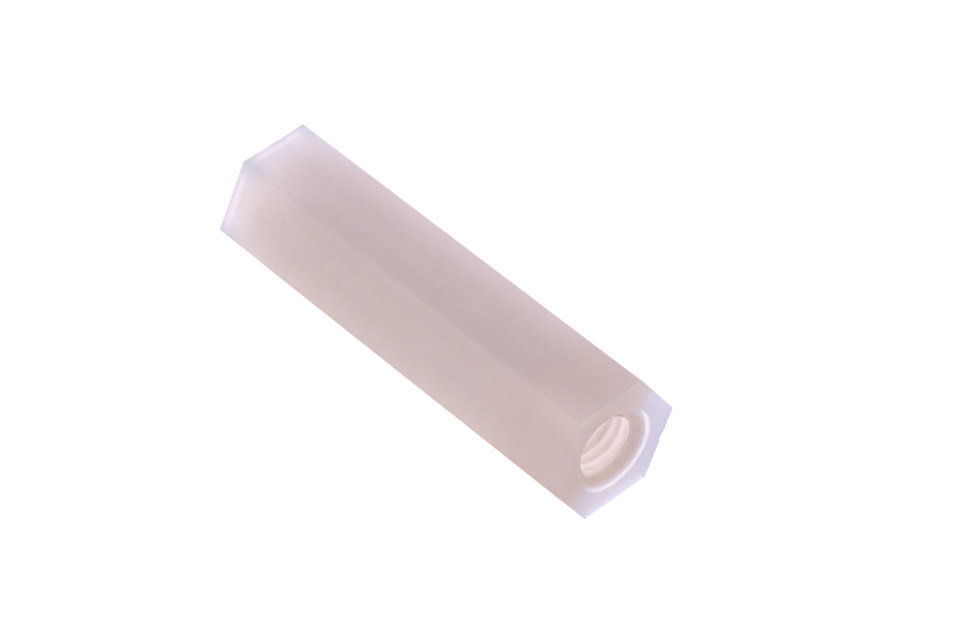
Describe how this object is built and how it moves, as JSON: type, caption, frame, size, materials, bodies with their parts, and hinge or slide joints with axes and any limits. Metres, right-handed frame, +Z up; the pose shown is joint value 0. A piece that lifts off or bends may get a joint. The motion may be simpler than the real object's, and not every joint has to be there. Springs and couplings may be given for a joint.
{
  "type": "hex standoff",
  "caption": "Hexagonal standoff of natural nylon, lying on a flat, with an M3 thread through it and a countersink at each end.",
  "frame": {"origin": "on the surface that the standoff lies on, under the middle of its length and width", "axes": "+X along the standoff's axis, from one end face to the other; +Z up, square to the flat that it lies on"},
  "size_m": [0.02, 0.0064, 0.0055],
  "materials": {
    "natural_nylon": "moulded natural nylon, translucent, satin, with a faint pink cast that turns to pale lavender at thin edges"
  },
  "bodies": {
    "root": {"hex_standoff": "natural_nylon"}
  },
  "joints": []
}
